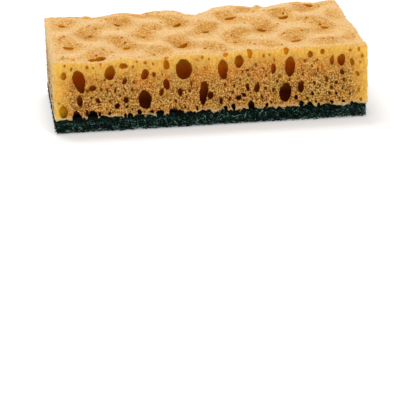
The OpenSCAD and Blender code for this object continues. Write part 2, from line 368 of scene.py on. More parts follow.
# The small ones between them: percent along, percent up, width and height in millimetres
SMALL_FRONT_PORES = [
    (10.7, 43, 0.9, 1.1), (16.4, 60, 0.8, 1.1), (19.7, 41, 1.1, 1.6), (14.2, 6, 1.1, 1.7),
    (25.5, 53, 0.8, 1.3), (27, 5, 1.4, 1.6), (30.8, 4, 1.5, 1.5), (37.9, 5, 1.2, 1.6),
    (43.9, 46, 0.9, 2.4), (43.1, 35, 0.9, 1.1), (61.9, 62, 1.1, 1.1), (60.4, 61, 0.9, 1.3),
    (60.5, 24, 1.4, 1.5), (58.9, 19, 1.6, 1.6), (56.8, 28, 0.7, 1.5), (54.6, 3, 1.4, 1.6),
    (57.1, 5, 1.4, 2.2), (45.4, 6, 0.7, 1.8), (67.6, 32, 0.9, 1.1), (83.2, 35, 1.1, 1.4),
    (77.3, 14, 1.3, 1.6), (70.1, 28, 0.9, 1.6), (84.6, 56, 0.8, 1.4), (90.5, 34, 1.1, 1.1),
    (86.3, 86, 1.5, 1.6), (67.8, 4, 1.3, 1.4), (88.6, 3, 1.3, 1.2), (92.5, 4, 1.3, 0.9),
]
# Pores of the back and the ends: how many on a face as long as the front, least and greatest
# width, gap between two of them and distance from the outline, in millimetres
OTHER_PORES = [
    (6, 3.2, 4.6, 4, 3.4), (16, 2.1, 3.1, 1.4, 1.8), (26, 1.3, 2, 0.8, 0.8),
    (90, 0.6, 1.2, 0.4, 0.6),
]
# Two bubbles that meet in a slot near the front edge of the top: distance from the left and from
# the front, extent to the back and to the side in millimetres, and depth as a share of the
# extent to the back
SLOT = [(12.8, 3.9, 4.4, 3.2, 0.55), (14.8, 4.2, 5.8, 3.8, 0.5)]
# Each face of the block: a corner, its directions along and up, and its size in them
FACES = {
    "front": ((-HALF_LENGTH, -HALF_WIDTH), (1, 0, 0), (0, 0, 1), FOAM_LENGTH, FOAM_HEIGHT),
    "back": ((HALF_LENGTH, HALF_WIDTH), (-1, 0, 0), (0, 0, 1), FOAM_LENGTH, FOAM_HEIGHT),
    "left": ((-HALF_LENGTH, HALF_WIDTH), (0, -1, 0), (0, 0, 1), FOAM_WIDTH, FOAM_HEIGHT),
    "right": ((HALF_LENGTH, -HALF_WIDTH), (0, 1, 0), (0, 0, 1), FOAM_WIDTH, FOAM_HEIGHT),
    "top": ((-HALF_LENGTH, -HALF_WIDTH), (1, 0, 0), (0, 1, 0), FOAM_LENGTH, FOAM_WIDTH),
}
# From its middle a bubble reaches inwards by this share of its width, on the sides and on the
# top, and the middle lies PORE_SINK of that behind the face
SIDE_DEPTH = 0.85
TOP_DEPTH = 0.8
PORE_SINK = 0.3
# Scattered bubbles lean up to this many degrees, taper up to this share and stay below the
# rounded upper edge
GREATEST_LEAN = 18
GREATEST_TAPER = 0.3
UPPER_MARGIN = 1.8 * mm
TRIES_EACH = 30
# Notches along the foot of a long face, how wide and how far up or down, in millimetres, and how
# much higher than wide
NOTCHES = 20
NOTCH_WIDTH = (0.8, 2.3)
NOTCH_STRAY = 0.3
NOTCH_STRETCH = (0.8, 1.6)
NOTCH_MARGIN = 1 * mm
# Pits of the top: how wide, how far behind the middle of a hollow and how far to a side of it, in
# millimetres, how much longer than wide, and how far they are turned, in degrees
PIT_WIDTH = (1.1, 2.4)
PIT_SETBACK = (2.2, 4)
PIT_STRAY = 1
PIT_STRETCH = (1.2, 2)
PIT_TURN = (70, 110)
PIT_MARGIN = 3 * mm
SLIVER = 0.003 * mm

dice = random.Random(12)
# Where bubbles already are on each face, and how far they reach
taken = {face: [] for face in FACES}
bubbles = bpy.data.collections.new("bubbles")
bpy.context.scene.collection.children.link(bubbles)


def add_ball(segments, rings):
    """A ball whose faces are marked, so that they are known again as walls of a pore."""
    bpy.ops.object.select_all(action="DESELECT")
    bpy.ops.mesh.primitive_uv_sphere_add(segments=segments, ring_count=rings, radius=1)
    ball = bpy.context.object
    mark = ball.data.attributes.new("in_pore", "FLOAT", "FACE")
    mark.data.foreach_set("value", np.ones(len(ball.data.polygons), np.float32))
    return ball


# A bubble is modelled in three degrees of fineness, for widths up to these, and copied
balls = {1.2 * mm: add_ball(7, 4), 2.4 * mm: add_ball(12, 8), math.inf: add_ball(24, 14)}


def cut_bubble(face, along, up, width, height, lean=0, taper=0, depth=SIDE_DEPTH):
    """A bubble whose middle lies just behind a face, so that its mouth is width by height and
    the hollow behind it is a little wider. taper narrows its upper end."""
    (corner_x, corner_y), right, upward, _, _ = FACES[face]
    right, upward = Vector(right), Vector(upward)
    inward = upward.cross(right)
    ball = next(ball for limit, ball in balls.items() if width <= limit)
    mesh = ball.data.copy()
    shape = read_points(mesh)
    shape[:, :2] *= 1 - taper * shape[:, 2:3]
    widen = 1 / math.sqrt(1 - PORE_SINK**2)
    shape *= np.array([width / 2 * widen, width * depth, height / 2 * widen])
    write_points(mesh, shape)
    place = Vector((corner_x, corner_y, FOAM_BOTTOM)) + right * along + upward * up
    if face == "top":
        place.z = float(top_height(place.x, place.y))
        place.y -= float(lean_forward(place.x, place.y))
    if face == "right":
        place.x += float(end_bulge(place.x, up / FOAM_HEIGHT))
    place += inward * PORE_SINK * width * depth
    turn = Matrix((right, inward, upward)).transposed().to_4x4()
    mesh.transform(Matrix.Translation(place) @ turn @ Matrix.Rotation(math.radians(lean), 4, "Y"))
    bubbles.objects.link(bpy.data.objects.new("bubble", mesh))
    taken[face].append((along, up, max(width, height) / 2))


def scatter_bubbles(face, count, sizes, gap, margin, stretch=(1.2, 1.9), depth=SIDE_DEPTH):
    """Up to count bubbles of random size in the free room of a face."""
    _, _, _, length, height = FACES[face]
    made = tries = 0
    while made < count and tries < count * TRIES_EACH:
        tries += 1
        width = dice.uniform(*sizes)
        tall = width * dice.uniform(*stretch)
        along = dice.uniform(margin, length - margin)
        up = dice.uniform(margin, height - margin)
        if face != "top" and up > height - tall / 2 - UPPER_MARGIN:
            continue
        nearest = min(
            (math.hypot(along - a, up - u) - r for a, u, r in taken[face]), default=length)
        if nearest > tall / 2 + gap:
            lean = dice.uniform(-GREATEST_LEAN, GREATEST_LEAN)
            taper = dice.uniform(-GREATEST_TAPER, GREATEST_TAPER)
            cut_bubble(face, along, up, width, tall, lean, taper, depth)
            made += 1


for along, up, width, height, lean, taper in FRONT_PORES:
    cut_bubble("front", along / 100 * FOAM_LENGTH, up / 100 * FOAM_HEIGHT,
               width * mm, height * mm, lean, taper)
for along, up, width, height in SMALL_FRONT_PORES:
    cut_bubble("front", along / 100 * FOAM_LENGTH, up / 100 * FOAM_HEIGHT, width * mm, height * mm)
scatter_bubbles("front", count=70, sizes=(0.6 * mm, 1 * mm), gap=0.4 * mm, margin=0.8 * mm)

# The other faces have the same kinds of pores, as many for their length, in places of their
# own, and along the pad every face is frayed by small notches
for face in ("front", "back", "left", "right"):
    for _ in range(round(NOTCHES * FACES[face][3] / FOAM_LENGTH)):
        along = dice.uniform(NOTCH_MARGIN, FACES[face][3] - NOTCH_MARGIN)
        width = dice.uniform(*NOTCH_WIDTH) * mm
        up = dice.uniform(-NOTCH_STRAY, NOTCH_STRAY) * mm
        cut_bubble(face, along, up, width, width * dice.uniform(*NOTCH_STRETCH))
for face in ("back", "left", "right"):
    share = FACES[face][3] / FOAM_LENGTH
    for count, least, greatest, gap, margin in OTHER_PORES:
        scatter_bubbles(face, round(count * share), sizes=(least * mm, greatest * mm),
                        gap=gap * mm, margin=margin * mm)

# The top has a wide shallow pit at the foot of each steep slope, a slot near the front edge
# and a scatter of fine holes
first_row = math.ceil(-FIRST_ROW / ROW_WIDTH)
last_row = math.floor((FOAM_WIDTH - FIRST_ROW) / ROW_WIDTH)
most_hollows = math.ceil(HALF_LENGTH / WAVE_LENGTH) + 1
for row in range(first_row, last_row + 1):
    for hollow in range(-most_hollows, most_hollows + 1):
        hollow_x = ROW_SHIFT + (hollow + (row % 2) / 2) * WAVE_LENGTH
        hollow_y = FIRST_ROW + row * ROW_WIDTH - HALF_WIDTH - ROW_SLANT * hollow_x
        along = hollow_x + stray_along(hollow_x, hollow_y) + HALF_LENGTH
        along += dice.uniform(-PIT_STRAY, PIT_STRAY) * mm
        up = hollow_y + stray_across(hollow_x, hollow_y) + HALF_WIDTH
        up += dice.uniform(*PIT_SETBACK) * mm
        inside_x = PIT_MARGIN < along < FOAM_LENGTH - PIT_MARGIN
        if inside_x and PIT_MARGIN < up < FOAM_WIDTH - PIT_MARGIN:
            width = dice.uniform(*PIT_WIDTH) * mm
            lean = dice.uniform(*PIT_TURN)
            height = width * dice.uniform(*PIT_STRETCH)
            cut_bubble("top", along, up, width, height, lean, 0, TOP_DEPTH)
for along, up, width, height, deep in SLOT:
    cut_bubble("top", along * mm, up * mm, width * mm, height * mm, 90, 0, deep)
scatter_bubbles("top", count=110, sizes=(0.6 * mm, 1.1 * mm), gap=1 * mm, margin=1 * mm,
                stretch=(1, 1.4), depth=TOP_DEPTH)

bpy.context.view_layer.objects.active = foam
pores = foam.modifiers.new("pores", "BOOLEAN")
pores.operation = "DIFFERENCE"
pores.operand_type = "COLLECTION"
pores.collection = bubbles
pores.solver = "MANIFOLD"
bpy.ops.object.modifier_apply(modifier=pores.name)
for copy in [*bubbles.objects, *balls.values()]:
    bpy.data.objects.remove(copy)
bpy.data.collections.remove(bubbles)
# Where two bubbles graze each other the cut leaves edges of no length, which are dissolved
bpy.ops.object.select_all(action="DESELECT")
foam.select_set(True)
bpy.ops.object.mode_set(mode="EDIT")
bpy.ops.mesh.select_all(action="SELECT")
bpy.ops.mesh.dissolve_degenerate(threshold=SLIVER)
bpy.ops.object.mode_set(mode="OBJECT")

# The open cells make the skin grainy and let the block drift out of true. The colours need to
# know how deep in a pore a point lies, how far below the top, and which way it faces.
DRIFT = 0.2 * mm
DRIFT_SCALE = 12 * mm
RIPPLE = 0.22 * mm
RIPPLE_SCALE = 3.5 * mm
WARP = 0.3 * mm
WARP_SCALE = 1.9 * mm
GRAIN = 0.2 * mm
GRAIN_SCALE = 0.9 * mm
SKIN = 0.3 * mm
# The foot stays flat on the pad, and the skin is free to move up and down from this height on
FREE_HEIGHT = 0.5 * mm
# The outermost points of the foot become teeth that hang into the pad or stand off it
FOOT_HEIGHT = 0.05 * mm
FOOT_REACH = 0.2 * mm
TEETH = 0.45 * mm
FRAY = 0.9 * mm
FRAY_SCALE = 1.1 * mm
# The colours of a pore, of the frayed foot, of the corners and of the front rim change over
# these distances, and no crease is nearer to the sides than its margin
DEEP_PORE = 3 * mm
FRINGE_HEIGHT = 2 * mm
CORNER_REACH = 8 * mm
RIM_WIDTH = 2.5 * mm
CREASE_MARGIN = 1 * mm
# Near the top the pores have the edge's colour up to the first distance from the sides, and
# the top's own from the second on
EDGE_PORES_END, TOP_PORES_START = 1.5 * mm, 5 * mm


def noise_at(points, scale, seed):
    """Smooth noise between about -1 and 1 for each point."""
    shift = Vector((seed * 7.3, seed * 3.1, seed * 5.7))
    return np.array([noise.noise(Vector(point) / scale + shift) for point in points.tolist()])


def read_normals(mesh):
    normals = np.zeros(len(mesh.vertices) * 3)
    mesh.vertices.foreach_get("normal", normals)
    return normals.reshape(-1, 3)


def keep_on_surface(mesh, name, values):
    """Keeps one value between 0 and 1 for each point, for the material to read."""
    attribute = mesh.attributes.new(name, "FLOAT", "POINT")
    attribute.data.foreach_set("value", np.clip(values, 0, 1).astype(np.float32))


mesh = foam.data
points = read_points(mesh)
normals = read_normals(mesh)
x, y = points[:, 0], points[:, 1]
upright_y = y + lean_forward(x, y)
below_top = top_height(x, upright_y) - points[:, 2]
from_ends = HALF_LENGTH - np.abs(x - end_bulge(x, 1 - below_top / FOAM_HEIGHT))
from_sides = np.minimum(from_ends, HALF_WIDTH - np.abs(y))
depth = np.minimum(from_sides, below_top)
keep_on_surface(mesh, "pore_depth", (depth - SKIN) / DEEP_PORE)
keep_on_surface(mesh, "below_top", below_top / FOAM_HEIGHT)
keep_on_surface(mesh, "above_pad", (points[:, 2] - FOAM_BOTTOM) / FRINGE_HEIGHT)
from_corners = np.maximum(from_ends, HALF_WIDTH - np.abs(y))
keep_on_surface(mesh, "from_corners", from_corners / CORNER_REACH)
# The end faces, which are painted paler with light
keep_on_surface(mesh, "end_face", smooth_step(np.abs(normals[:, 0]), 0.6, 0.95) * (from_ends < SKIN))
keep_on_surface(mesh, "side_face", 1.25 - 1.6 * np.maximum(normals[:, 2], 0))
# Pore ceilings are painted with light and pore floors with shade, by the way they face
keep_on_surface(mesh, "ceiling", -normals[:, 2] * 1.2)
keep_on_surface(mesh, "pore_floor", normals[:, 2] * 1.2)
# The steep slopes that face the front, which are painted with shade
steep = smooth_step(-normals[:, 1], -0.06, 0.24)
keep_on_surface(mesh, "steep_slope", steep * smooth_step(from_sides, EDGE_RADIUS, RIM_WIDTH))
# The foot of a steep slope in a hollow, which is painted with shade
foot = smooth_step(-wave(x, upright_y), 0.25, 0.8) * smooth_step(-normals[:, 1], 0.1, 0.4)
keep_on_surface(mesh, "crease", foot * (from_sides > CREASE_MARGIN))
# How deep in a hollow of the wave a point lies, for the painted shade there
keep_on_surface(mesh, "hollow", smooth_step(-wave(x, upright_y), -0.1, 1))
keep_on_surface(mesh, "in_top", smooth_step(from_sides, EDGE_PORES_END, TOP_PORES_START))
# The strip along the front edge, which is painted with a glow of light through the thin foam
keep_on_surface(mesh, "front_rim", smooth_step(HALF_WIDTH + y, RIM_WIDTH, 0))

skin = np.clip(1 - depth / SKIN, 0, 1)
free = np.clip((points[:, 2] - FOAM_BOTTOM) / FREE_HEIGHT, 0, 1)
foot_rim = (points[:, 2] < FOAM_BOTTOM + FOOT_HEIGHT) & (from_sides < FOOT_REACH)
points[:, 0] += DRIFT * noise_at(points, DRIFT_SCALE, 1)
points[:, 1] += DRIFT * noise_at(points, DRIFT_SCALE, 2)
ripple = DRIFT * noise_at(points, DRIFT_SCALE, 3) + RIPPLE * noise_at(points, RIPPLE_SCALE, 8)
points[:, 2] += ripple * free
points[:, 0] += WARP * noise_at(points, WARP_SCALE, 10)
points[:, 2] += WARP * noise_at(points, WARP_SCALE, 11) * free * (below_top > SKIN)
grain = noise_at(points, GRAIN_SCALE, 4) + 0.6 * noise_at(points, GRAIN_SCALE / 2, 5)
points += normals * (GRAIN * grain * skin * free)[:, None]
teeth = TEETH * np.random.default_rng(9).uniform(-1, 1, len(points))
points[:, 2] += foot_rim * (teeth + FRAY * noise_at(points, FRAY_SCALE, 9))
write_points(mesh, points)
bpy.ops.object.select_all(action="DESELECT")
foam.select_set(True)
bpy.ops.object.shade_smooth()

CELL_WIDTH = 0.64 * mm
SPOT_SPACING = 2.1 * mm
CLOUD_SIZE = 2.5 * mm
PATCH_SIZE = 7 * mm
GRIT_SIZE = 0.56 * mm
STREAK_WIDTH = 0.6 * mm
CELL_RELIEF = 0.4 * mm
LIGHT_REACH = 1.2 * mm
# Painted sheen: the top is paler than the sides, as grazing light makes it
PALE_TOP = (0.90, 0.59, 0.285, 1)
# Painted shade on the steep slopes that face the front, away from the key lamp
SHADED_SLOPE = (0.80, 0.425, 0.115, 1)
# Painted shade in the hollows of the wave
HOLLOW_SHADE = (0.77, 0.43, 0.15, 1)
# Painted shade at the foot of the steep slopes
CREASE = (0.46, 0.19, 0.035, 1)
SIDE_FOAM = (0.82, 0.37, 0.06, 1)
# Painted glow of light through the thin foam along the top edge and the corners
EDGE_GLOW = (1.0, 0.60, 0.11, 1)
UPPER_FOAM = (0.80, 0.28, 0.03, 1)
FRAYED_FOAM = (0.96, 0.70, 0.36, 1)
SPOT = (0.42, 0.13, 0.015, 1)
OLIVE_FOAM = (0.74, 0.43, 0.09, 1)
BROWN_FOAM = (0.70, 0.31, 0.07, 1)
# Painted light on the end faces
LIT_END_FOAM = (1, 0.75, 0.44, 1)
DARK_CELL = (0.14, 0.042, 0.004, 1)
TOP_GRAIN = (0.60, 0.27, 0.065, 1)
# Painted shade: the grain on those slopes is darker
SLOPE_GRAIN = (0.50, 0.19, 0.025, 1)
GOLDEN_GRAIN = (0.60, 0.29, 0.035, 1)
PALE_CELL = (1, 0.65, 0.24, 1)
# Painted light on the ceilings and rims of pores
PORE_LIGHT = (0.80, 0.30, 0.007, 1)
# Painted glow of light through the thin foam, in pores near the upper edge, the corners and the top
EDGE_PORE = (0.82, 0.34, 0.01, 1)
CORNER_PORE = (1, 0.56, 0.012, 1)
TOP_PORE = (0.54, 0.21, 0.01, 1)
# Painted shade inside pores: reddish brown, and nearly black low down
UPPER_PORE = (0.50, 0.095, 0.003, 1)
LOWER_PORE = (0.08, 0.011, 0.002, 1)
# Painted shade in the pores along the pad
PAD_PORE_SHADE = (0.012, 0.007, 0.003, 1)


def attribute(tree, name):
    """A value that the mesh keeps for each point."""
    return add_node(tree, "ShaderNodeAttribute", attribute_name=name).outputs["Fac"]


def calculate(tree, operation, first, second=0):
    return add_node(tree, "ShaderNodeMath", {0: first, 1: second}, operation=operation).outputs[0]


def remap(tree, value, start, end, low=0, high=1):
    """low where the value is start, high where it is end, and held beyond them."""
    ends = {"Value": value, "From Min": start, "From Max": end, "To Min": low, "To Max": high}
    return add_node(tree, "ShaderNodeMapRange", ends).outputs[0]


def mix_colours(tree, share, first, second):
    colours = {"Factor": share, "A": first, "B": second}
    return add_node(tree, "ShaderNodeMix", colours, data_type="RGBA").outputs["Result"]


caramel_foam, tree = new_material("caramel foam")
place_in_foam = add_node(tree, "ShaderNodeTexCoord").outputs["Object"]
cells = add_node(tree, "ShaderNodeTexVoronoi", {"Vector": place_in_foam, "Scale": 1 / CELL_WIDTH})
cell_chance = add_node(tree, "ShaderNodeSeparateColor", {"Color": cells.outputs["Color"]})
clouds = add_node(tree, "ShaderNodeTexNoise", {
    "Vector": place_in_foam, "Scale": 1 / CLOUD_SIZE, "Detail": 3, "Roughness": 0.6}).outputs["Fac"]
grit = add_node(tree, "ShaderNodeTexNoise", {
    "Vector": place_in_foam, "Scale": 1 / GRIT_SIZE, "Detail": 2, "Roughness": 0.8}).outputs["Fac"]
upright = add_node(tree, "ShaderNodeMapping", {
    "Vector": place_in_foam, "Scale": (1, 0.3, 0.25)}).outputs[0]
streaks = add_node(tree, "ShaderNodeTexNoise", {
    "Vector": upright, "Scale": 1 / STREAK_WIDTH, "Detail": 1}).outputs["Fac"]
patches = add_node(tree, "ShaderNodeTexNoise", {
    "Vector": place_in_foam, "Scale": 1 / PATCH_SIZE}).outputs["Fac"]
below = attribute(tree, "below_top")
side = attribute(tree, "side_face")
pore = attribute(tree, "pore_depth")

# How coarse the grain is: fine along the upper edge and the corners, coarse further down the
# sides, and between the two on the top, where the steep slopes have more of it
wavy = remap(tree, clouds, 0.3, 0.7, -0.1, 0.1)
band = calculate(tree, "ADD", below, wavy)
from_corner = calculate(tree, "ADD", attribute(tree, "from_corners"), wavy)
from_corner = remap(tree, from_corner, 0.05, 0.75)
coarse = remap(tree, band, 0, 0.6, 0.22, 1)
coarse = calculate(tree, "MULTIPLY", coarse, remap(tree, from_corner, 0, 1, 0.25, 1))
# The end faces have less grain, with their painted light
coarse = calculate(tree, "MULTIPLY", coarse, remap(tree, attribute(tree, "end_face"), 0, 1, 1, 0.65))
# The steep slopes that face the front, painted golden with shade, in clouds
slope = remap(tree, clouds, 0.3, 0.6, 0.5, 1)
slope = calculate(tree, "MULTIPLY", attribute(tree, "steep_slope"), slope)
coarse_top = calculate(tree, "MULTIPLY", remap(tree, side, 1, 0), remap(tree, slope, 0, 1, 0.65, 0.9))
coarse = calculate(tree, "MAXIMUM", coarse, coarse_top)

# Some cells and the grit between them are dark, others pale. Along the pad a frayed fringe of
# foam is pale.
cell = remap(tree, cells.outputs["Distance"], 0.65, 0.3)
chance = remap(tree, clouds, 0.3, 0.7, -0.25, 0.25)
chance = calculate(tree, "ADD", cell_chance.outputs["Red"], chance)
dark = calculate(tree, "MULTIPLY", cell, remap(tree, chance, 0.38, 0.82))
dark = calculate(tree, "MAXIMUM", dark, remap(tree, grit, 0.55, 0.38))
dark = calculate(tree, "MULTIPLY", dark, coarse)
fringe = calculate(tree, "ADD", attribute(tree, "above_pad"), remap(tree, grit, 0.3, 0.7, -0.4, 0.4))
fringe = remap(tree, fringe, 0.45, 0.1)
dark = calculate(tree, "MULTIPLY", dark, remap(tree, fringe, 0, 1, 1, 0.4))
pale = calculate(tree, "MULTIPLY", cell, remap(tree, cell_chance.outputs["Green"], 0.6, 0.9))
pale = calculate(tree, "MAXIMUM", pale, remap(tree, grit, 0.5, 0.75))
pale = calculate(tree, "MULTIPLY", pale, coarse)

# Larger brown spots lie between the pores
spots = add_node(tree, "ShaderNodeTexVoronoi", {"Vector": place_in_foam, "Scale": 1 / SPOT_SPACING})
spot_chance = add_node(tree, "ShaderNodeSeparateColor", {"Color": spots.outputs["Color"]})
spot = remap(tree, spots.outputs["Distance"], 0.34, 0.2)
spot = calculate(tree, "MULTIPLY", spot, remap(tree, spot_chance.outputs["Blue"], 0.3, 0.6))
spot = calculate(tree, "MULTIPLY", spot, coarse)

# The top is pale, a painted sheen of the light that grazes it. Its hollows and the creases at the
# foot of its steep slopes are darker, painted shade, and the steep slopes that face the front are
# golden, painted shade as they face away from the key lamp. Along the front edge it is golden, a
# painted glow of light that comes through the thin foam there.
top_colour = mix_colours(tree, attribute(tree, "hollow"), PALE_TOP, HOLLOW_SHADE)
top_colour = mix_colours(tree, slope, top_colour, SHADED_SLOPE)
# Painted shade in the creases
top_colour = mix_colours(tree, attribute(tree, "crease"), top_colour, CREASE)
# Painted glow of light through the thin foam along the front edge
rim_glow = calculate(tree, "MULTIPLY", attribute(tree, "front_rim"), 0.45)
top_colour = mix_colours(tree, rim_glow, top_colour, EDGE_GLOW)

# The sides are golden and streaked along the top and the corners, a painted glow of light that
# comes through the thin foam there, and caramel below, with patches of olive and brown. The ends
# are paler and less grainy, a painted light that grazes them.
from_edge = calculate(tree, "MULTIPLY", remap(tree, band, 0, 0.32), from_corner)
golden = mix_colours(tree, remap(tree, streaks, 0.45, 0.75, 0, 0.5), EDGE_GLOW, GOLDEN_GRAIN)
side_colour = mix_colours(tree, remap(tree, below, 0.3, 0.6), UPPER_FOAM, SIDE_FOAM)
side_colour = mix_colours(tree, remap(tree, patches, 0.48, 0.62, 0, 0.7), side_colour, OLIVE_FOAM)
side_colour = mix_colours(tree, remap(tree, patches, 0.46, 0.34), side_colour, BROWN_FOAM)
side_colour = mix_colours(tree, from_edge, golden, side_colour)
# The end faces are painted paler, as light that grazes them
end_share = calculate(tree, "MULTIPLY", attribute(tree, "end_face"), 0.8)
side_colour = mix_colours(tree, end_share, side_colour, LIT_END_FOAM)
side_colour = mix_colours(tree, spot, side_colour, SPOT)
side_colour = mix_colours(tree, remap(tree, fringe, 0, 1, 0, 0.8), side_colour, FRAYED_FOAM)
colour = mix_colours(tree, side, top_colour, side_colour)
colour = mix_colours(tree, pale, colour, PALE_CELL)
# The darker grain on those slopes is painted shade too
top_grain = mix_colours(tree, slope, TOP_GRAIN, SLOPE_GRAIN)
# Near the top edge and the corners the dark grain is golden too, in the painted glow
side_grain = mix_colours(tree, from_edge, GOLDEN_GRAIN, DARK_CELL)
dark_colour = mix_colours(tree, side, top_grain, side_grain)
colour = mix_colours(tree, dark, colour, dark_colour)

# A pore is painted with the shade in it and with light that comes through the foam around it:
# reddish brown inside and nearly black low down, painted shade, and golden at the upper edge and
# the corners, a painted glow where the foam is thin. Its ceiling and its rim are painted with
# light, its floor with shade, and the pores along the pad are painted nearly black with shade.
# Painted shade: darker the lower the pore lies
pore_colour = mix_colours(tree, remap(tree, below, 0.3, 0.75), UPPER_PORE, LOWER_PORE)
# Painted glow of light through the thin foam in pores near the corners and the upper edge
pore_colour = mix_colours(tree, remap(tree, from_corner, 0.3, 1), CORNER_PORE, pore_colour)
near_top = mix_colours(tree, attribute(tree, "in_top"), EDGE_PORE, TOP_PORE)
pore_colour = mix_colours(tree, remap(tree, below, 0.29, 0.15), pore_colour, near_top)
# Painted shade on the floors of pores
shaded = remap(tree, below, 0.1, 0.3, 0.2, 0.6)
shaded = calculate(tree, "MULTIPLY", attribute(tree, "pore_floor"), shaded)
pore_colour = mix_colours(tree, shaded, pore_colour, LOWER_PORE)
# Painted light on the ceilings of pores and near their rims, more of it higher up
lit = remap(tree, below, 0.75, 0.3, 0.2, 0.65)
lit = calculate(tree, "MULTIPLY", attribute(tree, "ceiling"), lit)
rim_light = remap(tree, below, 0.75, 0.3, 0.25, 0.7)
rim_light = calculate(tree, "MULTIPLY", remap(tree, pore, 0.3, 0), rim_light)
lit = calculate(tree, "MAXIMUM", rim_light, lit)
pore_colour = mix_colours(tree, lit, pore_colour, PORE_LIGHT)
# Painted shade: pores along the pad are nearly black, less so near the corners
pad_shade = remap(tree, attribute(tree, "above_pad"), 0.9, 0.3)
pad_shade = calculate(tree, "MULTIPLY", pad_shade, from_corner)
pore_colour = mix_colours(tree, pad_shade, pore_colour, PAD_PORE_SHADE)
# At the corners less of the painted pore colour is used, as the thin foam lets light through
inside = remap(tree, from_corner, 0, 1, 0.85, 1)
inside = calculate(tree, "MULTIPLY", attribute(tree, "in_pore"), inside)
colour = mix_colours(tree, inside, colour, pore_colour)

relief = calculate(tree, "SUBTRACT", pale, dark)
strength = remap(tree, side, 0, 1, 0.35, 0.45)
bump = add_node(tree, "ShaderNodeBump", {
    "Height": relief, "Strength": strength, "Distance": CELL_RELIEF})
foam_shader = add_node(tree, "ShaderNodeBsdfPrincipled", {
    "Base Color": colour, "Normal": bump.outputs[0], "Roughness": 0.9,
    "Specular IOR Level": 0, "Subsurface Weight": 0.4,
    "Subsurface Radius": (1, 0.45, 0.12), "Subsurface Scale": LIGHT_REACH})
add_node(tree, "ShaderNodeOutputMaterial", {"Surface": foam_shader.outputs[0]})
foam.data.materials.clear()
foam.data.materials.append(caramel_foam)

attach(foam, "root")
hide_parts("foam_block")

# Scouring pad
# A flat mat of stiff crimped nylon fibres, bonded to each other and to the foam by resin. It
# is cut together with the foam, so that its edges are a tangle of loops and cut ends.
PAD_LENGTH = pad_high.x - pad_low.x
PAD_WIDTH = pad_high.y - pad_low.y
PAD_TOP = pad_high.z
MAT_INSET = 0.7 * mm
MAT_STEP = 0.7 * mm
MAT_LUMPS = 0.5 * mm
LUMP_SIZE = 1.6 * mm
# The mat has no lumps where the foam lies on it, up to this far from its long sides
FLAT_MARGIN = 2 * mm
FIBRE_WIDTH = 0.22 * mm
FIBRE_POINTS = 5
FIBRE_SIDES = 3
FIBRE_STRAY = 0.6 * mm
# A fibre is so long, in millimetres, and so thick, in shares of the usual width. It curls in
# its surface by a share of its length and is crimped by this much.
FIBRE_LENGTH = (1.6, 4.5)
FIBRE_THICKNESS = (0.5, 1.3)
FIBRE_CURL = 0.35
FIBRE_CRIMP = 0.25 * mm
# The middles of the side fibres lie this far inside the sides, those below at least this far
SIDE_DEEP = 0.4 * mm
UNDER_DEEP = 0.6 * mm
POINT_GAP = 0.02 * mm
WELD = 0.001 * mm
SIDE_FIBRES = 7400
UNDER_FIBRES = 7400
# The fibres are painted darker over this much of the pad's height, as shade under the foam
SHADED_STRIP = 1.4 * mm
NYLON_MOTTLE = 0.6 * mm
RESIN_MOTTLE = 0.7 * mm
RESIN_RELIEF = 0.5 * mm
RESIN_GREEN = (0.003, 0.016, 0.012, 1)
FIBRE_GREEN = (0.010, 0.066, 0.046, 1)
# Painted glints of light on a few fibres
FIBRE_GLINT = (0.26, 0.46, 0.34, 1)
FIBRE_SHADE = (0.001, 0.004, 0.003, 1)

mat = add_fine_block("fibre_mat", PAD_LENGTH - 2 * MAT_INSET, PAD_WIDTH - 2 * MAT_INSET,
                     MAT_INSET, PAD_TOP, MAT_STEP)
points = read_points(mat.data)
normals = read_normals(mat.data)
lumps = noise_at(points, LUMP_SIZE, 6) + 0.7 * noise_at(points, LUMP_SIZE / 2, 7)
on_top = points[:, 2] > PAD_TOP - 0.1 * mm
flat = on_top & (np.abs(points[:, 1]) < PAD_WIDTH / 2 - FLAT_MARGIN)
points += normals * (MAT_LUMPS * lumps * ~flat)[:, None]
write_points(mat.data, points)

bpy.ops.object.select_all(action="DESELECT")
bpy.ops.mesh.primitive_circle_add(vertices=FIBRE_SIDES, radius=FIBRE_WIDTH / 2)
bpy.ops.object.convert(target="CURVE")
fibre_section = bpy.context.object


def fibre_curve(middle, along, inward, length, bow):
    """Points of one crimped fibre that runs along a surface and bows in and out of it."""
    sideways = along.cross(inward)
    phase = dice.uniform(0, math.tau)
    curl = dice.uniform(-1, 1) * length * FIBRE_CURL
    route = []
    for step in range(FIBRE_POINTS):
        share = step / (FIBRE_POINTS - 1) - 0.5
        sway = curl * (share * share * 4 - 0.5) + FIBRE_CRIMP * math.sin(phase + share * 9)
        sink = bow * (math.cos(phase + share * 7) - 0.3)
        route.append(middle + along * share * length + sideways * sway + inward * sink)
    return route


